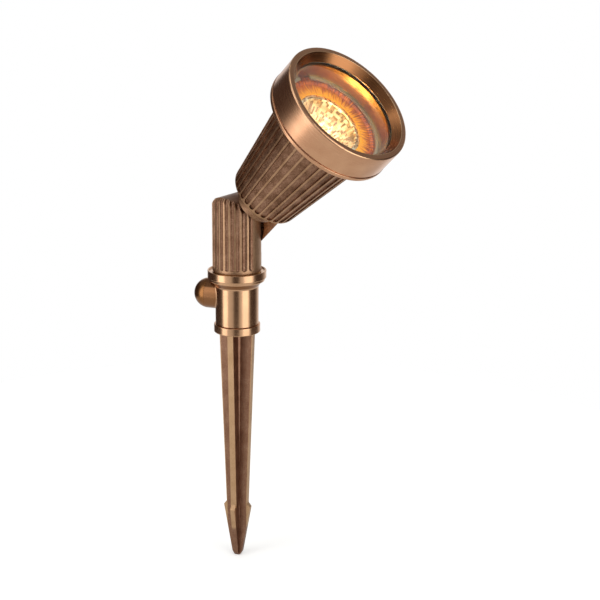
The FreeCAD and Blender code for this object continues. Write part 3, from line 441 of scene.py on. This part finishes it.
def lip_painted_shade(tree):
    """1 on the bevelled lip inside the ring's front face, which is painted darker and warmer: painted shade,
    tinted by the lamp's light.
    """
    split, away = from_axis(tree, head_place(tree))
    inside = add(tree, "Math", {0: away, 1: (FACE_INNER_R - 0.1) * MM}, operation="LESS_THAN")
    front = add(tree, "Math", {0: split["Z"], 1: BEHIND_LIP * MM}, operation="GREATER_THAN")
    return add(tree, "Math", {0: inside[0], 1: front[0]}, operation="MULTIPLY")[0]


def boss_painted_shade(tree):
    """1 on the side boss that the gland nut screws on, which is painted darker as painted shade."""
    split, away = from_axis(tree, add(tree, "TexCoord")["Object"])
    below = add(tree, "Math", {0: split["Z"], 1: BOSS_TOP * MM}, operation="LESS_THAN")
    above = add(tree, "Math", {0: split["Z"], 1: BOSS_LOW * MM}, operation="GREATER_THAN")
    level = add(tree, "Math", {0: below[0], 1: above[0]}, operation="MULTIPLY")
    out = add(tree, "MapRange", {0: away, 1: (BARREL_R + 0.2) * MM, 2: (BARREL_R + 0.7) * MM},
              interpolation_type="SMOOTHSTEP")
    return add(tree, "Math", {0: level[0], 1: out[0]}, operation="MULTIPLY")[0]


# ---- Materials ----

def cast_brass(name, patina, rubbed, high, rough=0.42, grain_mm=0.8, machined=()):
    """Sand-cast brass, browned and then rubbed back: grainy brown in the hollows, pale on the high ground.

    high makes the socket that is 1 on the high ground. machined gives (shades, roughness, the maker of its
    socket) for each cut surface.
    """
    material, tree = new_material(name)
    place = add(tree, "TexCoord")["Object"]
    # casting grain of 0.3 to 0.5 mm, drawn coarser so that it shows, under stains about 9 mm across
    grain = add(tree, "TexNoise", {
        "Vector": place, "Scale": per_mm(grain_mm), "Detail": 3.0, "Roughness": 0.6})
    cloud = add(tree, "TexNoise", {"Vector": place, "Scale": per_mm(9.0), "Detail": 2.0, "Roughness": 0.5})
    soft = add(tree, "Math", {0: cloud[0], 1: 0.4}, operation="MULTIPLY")
    mix = add(tree, "Math", {0: grain[0], 1: 0.6, 2: soft[0]}, operation="MULTIPLY_ADD")
    shade = add(tree, "ValToRGB", {0: mix[0]})
    ramp_stops(shade, [(0.38, patina[0]), (0.5, patina[1]), (0.62, patina[2])])
    bright = add(tree, "ValToRGB", {0: mix[0]})
    ramp_stops(bright, [(0.4, rubbed[0]), (0.6, rubbed[1])])
    worn = add(tree, "MapRange", {0: grain[0], 1: NOISE_LOW, 2: NOISE_TOP, 3: -0.25, 4: 0.25})
    level = add(tree, "Math", {0: high(tree), 1: worn[0]}, operation="ADD", use_clamp=True)
    base = add(tree, "Mix", {"Factor": level[0], "A": shade[0], "B": bright[0]}, data_type="RGBA")
    gloss = add(tree, "MapRange", {
        0: grain[0], 1: NOISE_LOW, 2: NOISE_TOP, 3: rough - 0.06, 4: rough + 0.1})
    for shades, smooth, where in machined:
        zone = where(tree)
        cut = add(tree, "ValToRGB", {0: mix[0]})
        ramp_stops(cut, [(0.4, shades[0]), (0.6, shades[1])])
        base = add(tree, "Mix", {"Factor": zone, "A": base[2], "B": cut[0]}, data_type="RGBA")
        gloss = add(tree, "Mix", {"Factor": zone, "A": gloss[0], "B": smooth})
    relief = add(tree, "Bump", {"Height": grain[0], "Strength": 0.5, "Distance": 0.1 * MM})
    surface = add(tree, "BsdfPrincipled", {
        "Base Color": base[2], "Metallic": 1.0, "Roughness": gloss[0], "Normal": relief[0]})
    add(tree, "OutputMaterial", {"Surface": surface[0]})
    return material


def turned_brass(name, shades, rough, on_head=False, zones=()):
    """Brass turned and brushed on a lathe, lacquered: fine rings round the axis stretch its highlights along
    it, and its corners are rubbed round.

    zones gives (shade, the maker of its socket) for places painted lighter or darker: painted highlight and
    painted shade.
    """
    material, tree = new_material(name)
    place = head_place(tree) if on_head else add(tree, "TexCoord")["Object"]
    split, away = from_axis(tree, place)
    # turning rings 0.1 mm apart, drawn at 0.5 mm so that they show; they follow height and radius
    ring_place = add(tree, "CombineXYZ", {0: away, 1: split["Z"]})
    rings = add(tree, "TexNoise", {
        "Vector": ring_place[0], "Scale": per_mm(0.5), "Detail": 3.0, "Roughness": 0.7})
    cloud = add(tree, "TexNoise", {"Vector": place, "Scale": per_mm(14.0), "Detail": 2.0})
    tone = add(tree, "Math", {0: rings[0], 1: 0.35, 2: cloud[0]}, operation="MULTIPLY_ADD")
    base = add(tree, "ValToRGB", {0: tone[0]})
    ramp_stops(base, [(0.45, shades[0]), (0.9, shades[1])])
    shown = base[0]
    for shade, where in zones:
        shown = add(tree, "Mix", {"Factor": where(tree), "A": shown, "B": colour(shade)}, data_type="RGBA")[2]
    gloss = add(tree, "MapRange", {
        0: rings[0], 1: NOISE_LOW, 2: NOISE_TOP, 3: rough - 0.03, 4: rough + 0.05})
    corner = add(tree, "Bevel", {"Radius": 0.4 * MM}, samples=4)
    relief = add(tree, "Bump", {
        "Height": rings[0], "Strength": 0.1, "Distance": 0.02 * MM, "Normal": corner[0]})
    surface = add(tree, "BsdfPrincipled", {
        "Base Color": shown, "Metallic": 1.0, "Roughness": gloss[0], "Normal": relief[0]})
    add(tree, "OutputMaterial", {"Surface": surface[0]})
    return material


def spun_plate(name, shades, rough):
    """Sheet brushed outwards from its hole, with fine streaks along its radius that fan its shine. Its colour
    runs from red-brown at the rim to amber beside the lamp: a painted glow of the lamp's light."""
    material, tree = new_material(name)
    split, away = from_axis(tree, head_place(tree))
    around = add(tree, "Math", {0: split["Y"], 1: split["X"]}, operation="ARCTAN2")
    # polishing streaks 0.2 mm wide, drawn about 1 mm wide so that they show, and about eight times as long
    turned = add(tree, "Math", {0: around[0], 1: PLATE_MIDDLE_R * MM}, operation="MULTIPLY")
    drawn = add(tree, "Math", {0: away, 1: 0.12}, operation="MULTIPLY")
    streak_place = add(tree, "CombineXYZ", {0: turned[0], 1: drawn[0]})
    streaks = add(tree, "TexNoise", {"Vector": streak_place[0], "Scale": per_mm(1.0), "Detail": 3.0})
    # painted glow: lighter beside the lamp, darker towards the rim
    painted_lamp_glow = add(tree, "MapRange", {
        0: away, 1: (LAMP_R + 0.5) * MM, 2: (PLATE_R + 0.5) * MM, 3: 0.18, 4: -0.22})
    tone = add(tree, "Math", {0: streaks[0], 1: 1.15, 2: painted_lamp_glow[0]}, operation="MULTIPLY_ADD")
    base = add(tree, "ValToRGB", {0: tone[0]})
    ramp_stops(base, [(0.3, shades[0]), (0.52, shades[1]), (0.76, shades[2])])
    gloss = add(tree, "MapRange", {
        0: streaks[0], 1: NOISE_LOW, 2: NOISE_TOP, 3: rough - 0.08, 4: rough + 0.08})
    relief = add(tree, "Bump", {"Height": streaks[0], "Strength": 0.5, "Distance": 0.1 * MM})
    surface = add(tree, "BsdfPrincipled", {
        "Base Color": base[0], "Metallic": 0.35, "Roughness": gloss[0], "Normal": relief[0]})
    add(tree, "OutputMaterial", {"Surface": surface[0]})
    return material


def plain_metal(name, shades, rough):
    """Sheet, wire or bar as it comes from the mill: a fine even grain that breaks up its shine."""
    material, tree = new_material(name)
    place = add(tree, "TexCoord")["Object"]
    # mill grain under 0.1 mm, drawn at 0.8 mm so that it shows
    noise = add(tree, "TexNoise", {"Vector": place, "Scale": per_mm(0.8), "Detail": 3.0})
    gloss = add(tree, "MapRange", {
        0: noise[0], 1: NOISE_LOW, 2: NOISE_TOP, 3: rough - 0.06, 4: rough + 0.06})
    base = add(tree, "ValToRGB", {0: noise[0]})
    ramp_stops(base, [(NOISE_LOW, shades[0]), (NOISE_TOP, shades[1])])
    surface = add(tree, "BsdfPrincipled", {"Base Color": base[0], "Metallic": 1.0, "Roughness": gloss[0]})
    add(tree, "OutputMaterial", {"Surface": surface[0]})
    return material


def dull(name, shades, rough):
    """Moulded rubber or silicone, or fired ceramic: no mirror shine, with a fine grain from the mould."""
    material, tree = new_material(name)
    place = add(tree, "TexCoord")["Object"]
    # mould grain of about 0.1 mm, drawn at 0.6 mm so that it shows
    noise = add(tree, "TexNoise", {"Vector": place, "Scale": per_mm(0.6), "Detail": 2.0})
    base = add(tree, "ValToRGB", {0: noise[0]})
    ramp_stops(base, [(NOISE_LOW, shades[0]), (NOISE_TOP, shades[1])])
    relief = add(tree, "Bump", {"Height": noise[0], "Strength": 0.3, "Distance": 0.05 * MM})
    surface = add(tree, "BsdfPrincipled", {"Base Color": base[0], "Roughness": rough, "Normal": relief[0]})
    add(tree, "OutputMaterial", {"Surface": surface[0]})
    return material


def glass(name, ior):
    """Clear pressed glass that lamps shine through."""
    material, tree = new_material(name)
    surface = add(tree, "BsdfPrincipled", {
        "Base Color": colour("fbfdfb"), "Roughness": 0.0, "IOR": ior, "Transmission Weight": 1.0})
    clear = add(tree, "BsdfTransparent", {"Color": colour("fbfdfb")})
    path = add(tree, "LightPath")
    shown = add(tree, "MixShader", {0: path["Is Shadow Ray"], 1: surface[0], 2: clear[0]})
    add(tree, "OutputMaterial", {"Surface": shown[0]})
    return material


def glowing(name, shade, strength):
    """Lit quartz capsule, which the lamp's light passes through."""
    material, tree = new_material(name)
    surface = add(tree, "BsdfPrincipled", {
        "Base Color": colour("fff4e0"), "Roughness": 0.2, "Emission Color": colour(shade),
        "Emission Strength": strength})
    clear = add(tree, "BsdfTransparent", {"Color": colour("ffffff")})
    path = add(tree, "LightPath")
    shown = add(tree, "MixShader", {0: path["Is Shadow Ray"], 1: surface[0], 2: clear[0]})
    add(tree, "OutputMaterial", {"Surface": shown[0]})
    return material


def facet_mirror(name, shades, rough):
    """Aluminium mirror on pressed glass in small flats whose tilts mirror the lamp's light; each flat is also
    painted its own brightness at random, dark gold to near white: painted reflection.
    """
    material, tree = new_material(name)
    split, away = from_axis(tree, head_place(tree))
    around = add(tree, "Math", {0: split["Y"], 1: split["X"]}, operation="ARCTAN2")
    sector = add(tree, "Math", {0: around[0], 1: FACET_SECTORS / (2 * math.pi)}, operation="MULTIPLY")
    row = add(tree, "Math", {0: away, 1: per_mm(FACET_STEP)}, operation="MULTIPLY")
    cell = add(tree, "CombineXYZ", {0: sector[0], 1: row[0]})
    corner = add(tree, "VectorMath", {0: cell[0]}, operation="FLOOR")
    pick = add(tree, "TexWhiteNoise", {"Vector": corner[0]}, noise_dimensions="2D")
    base = add(tree, "ValToRGB", {0: pick[0]})
    ramp_stops(base, [(0.0, shades[0]), (0.45, shades[1]), (1.0, shades[2])])
    gloss = add(tree, "MapRange", {0: pick[0], 3: rough, 4: rough + 0.08})
    surface = add(tree, "BsdfPrincipled", {"Base Color": base[0], "Metallic": 1.0, "Roughness": gloss[0]})
    add(tree, "OutputMaterial", {"Surface": surface[0]})
    return material


# ---- Pieces ----

def facet_bowl(material):
    """The lamp's bowl with its facets: rings of small flats inside, smooth glass outside, flat rim."""
    mouth = LAMP_FRONT - LAMP_RIM
    seat = LAMP_FRONT - LAMP_GLASS
    ledge_r = MOUTH_R + GLASS_LEDGE
    slope = (mouth - BOWL_VERTEX) / MOUTH_R ** 2
    inner = [BOWL_HOLE_R + (MOUTH_R - BOWL_HOLE_R) * i / FACET_ROWS for i in range(FACET_ROWS + 1)]
    profile = [(r, BOWL_VERTEX + slope * r * r) for r in inner]
    profile += [(MOUTH_R, seat), (ledge_r, seat), (ledge_r, LAMP_FRONT)]
    profile += [(LAMP_R, LAMP_FRONT), (LAMP_R, mouth)]
    profile += [(r + BOWL_WALL, BOWL_VERTEX + slope * r * r) for r in reversed(inner)]
    form = bmesh.new()
    rings = []
    for k, (radius, height) in enumerate(profile):
        shift = 0.5 if k < FACET_ROWS and k % 2 else 0.0
        rings.append(ring_of(form, FACET_SECTORS, radius * MM, height * MM, shift))
    for k, here in enumerate(rings):
        ahead = rings[(k + 1) % len(rings)]
        for i in range(FACET_SECTORS):
            j = (i + 1) % FACET_SECTORS
            if k >= FACET_ROWS:
                form.faces.new((here[i], here[j], ahead[j], ahead[i]))
            elif k % 2:
                form.faces.new((here[i], ahead[j], ahead[i]))
                form.faces.new((here[i], here[j], ahead[j]))
            else:
                form.faces.new((here[i], here[j], ahead[i]))
                form.faces.new((here[j], ahead[j], ahead[i]))
    bmesh.ops.recalc_face_normals(form, faces=form.faces)
    form.transform(Matrix.Translation(PIVOT) @ Matrix.Rotation(HEAD_TILT, 4, "X"))
    bowl = mesh_object("facet_bowl", form, material)
    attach(bowl, "head")
    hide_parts("lamp_reflector")


def head_light(name, watts, shade, size, along, mirrored):
    """Warm light of the lit lamp, on the head's axis; mirrored ones show in polished metal."""
    data = bpy.data.lights.new(name, "POINT")
    data.energy = watts
    data.color = colour(shade)[:3]
    data.shadow_soft_size = size * MM
    lamp = bpy.data.objects.new(name, data)
    bpy.context.scene.collection.objects.link(lamp)
    lamp.location = PIVOT + Vector((0, -math.sin(HEAD_TILT), math.cos(HEAD_TILT))) * along * MM
    lamp.visible_camera = False
    lamp.visible_transmission = False
    lamp.visible_glossy = mirrored
    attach(lamp, "head")


def wear(material, *names):
    """Gives CAD nodes their finish."""
    for name in names:
        nodes[name].data.materials.clear()
        nodes[name].data.materials.append(material)


def finish_castings():
    """Sand-cast pieces, browned, and rubbed back where hands and cloths reach."""
    patina = ("63442f", "84604a", "a37d65")
    rubbed = ("9f7a5a", "ba9474")
    bored = (("8a5a30", "b58648"), 0.27, housing_bore)
    rear_chamfer = (("9f7c4b", "be9a67"), 0.34, housing_rear)
    # brown hollows between pale crests, with a smooth warm wall inside
    wear(cast_brass("cast_brass_housing", patina, rubbed, housing_crests, machined=[bored, rear_chamfer]),
         "head_body")
    # the same casting, with paler lands between its flutes
    wear(cast_brass("cast_brass_post", ("6b4937", "83604b", "98765f"), ("a98565", "c09a79"), post_lands),
         "lower_knuckle")
    # no high ground of its own, so brown and pale lie in soft patches
    wear(cast_brass("cast_brass_knuckle", patina, rubbed, half_rubbed), "upper_knuckle")
    # finer sand: a little glossier, with pale lines down the fins' edges
    wear(cast_brass("cast_brass_stake", ("7a5542", "886450", "97735d"), ("b8936e", "c6a27d"), fin_edges,
                    rough=0.36, grain_mm=0.6),
         "ground_stake")


def finish_turnings():
    """Pieces from the lathe, which carry the sharp bright bands, and the plate inside."""
    # light brass with bright stripes down the barrel, and painted shade on the boss at its side
    wear(turned_brass("brushed_brass", ("bd9573", "cba07b"), 0.19, zones=[("8a6040", boss_painted_shade)]),
         "collar", "stake_hub")
    # browned after turning: a darker dome with a soft highlight
    wear(turned_brass("browned_brass", ("835834", "966840"), 0.26), "gland_nut")
    # pinker and softer than the collar, with painted highlight lines on the front edges and painted shade,
    # warmed by the lamp's light, on the lip
    wear(turned_brass("satin_bronze", ("c08f6d", "d0a17d"), 0.24, on_head=True,
                      zones=[("dcb78e", edge_painted_highlight), ("9c6a44", lip_painted_shade)]),
         "bezel")
    # red-brown at the rim to amber near the lamp: a painted glow of the lamp's light
    wear(spun_plate("amber_plate", ("702a0c", "c25f10", "ffb41e"), 0.34), "lamp_plate")


def finish_small_pieces():
    """Fasteners, seals, wiring and the lamp's own parts."""
    # yellow metal with a dull even shine
    wear(plain_metal("plain_brass", ("b99a5e", "c9ab70"), 0.3),
         "stem_locknut", "neck_locknut", "pan_washer")
    # pale grey-green wire with a blurred shine
    wear(plain_metal("tinned_wire", ("c3c7b4", "d9dccb"), 0.42), "plate_clip")
    # neutral grey, the sharpest shine of the small metals
    wear(plain_metal("stainless_steel", ("a8a9a6", "bdbdb9"), 0.25),
         "stake_screw", "pivot_screw", "pivot_washer", "stem_washer", "crimp_sleeves", "neck_lock_washer",
         "lamp_pins", "holder_bracket", "bracket_screws", "holder_screws")
    # near black and matt, so that seals read as thin dark lines
    wear(dull("black_rubber", ("121212", "1c1c1b"), 0.6),
         "hub_o_ring", "gland_seal", "pivot_o_ring", "neck_gasket", "bezel_o_ring", "lens_gasket")
    # warm off-white with a weak broad highlight
    wear(dull("ceramic", ("ded8ca", "ece7db"), 0.45), "lamp_base", "lampholder")
    # dark grey sleeves, a little shinier than the rubber
    wear(dull("silicone_sleeve", ("1b1b1c", "262627"), 0.5), "stem_leads", "head_leads")
    # coated against glare, so the front glass mirrors less than plain glass
    wear(glass("coated_glass", 1.33), "lens")
    # plain glass, with the full mirror of its surface
    wear(glass("pressed_glass", 1.5), "lamp_glass")
    # warm white core in the bowl
    wear(glowing("lit_quartz", "ffe2b0", 2.2), "lamp_capsule")


set_camera()
white_room()
softboxes()
studio_scrims()
paper_floor()
finish_castings()
finish_turnings()
finish_small_pieces()
# flats painted dark gold to near white at random: painted reflection of the lamp's light
facet_bowl(facet_mirror("facet_mirror", ("b08a5a", "dfc393", "fff6da"), 0.24))
# far enough forward that the bowl's rim doesn't shade the bored wall
head_light("lamp_light", watts=0.19, shade="ffe4bc", size=2.5, along=108.0, mirrored=True)
# in front of the plate, to make it glow as the lamp's stray light does
head_light("plate_glow", watts=0.026, shade="ffb458", size=8.0, along=135.0, mirrored=False)
bpy.context.scene.view_settings.view_transform = "Standard"
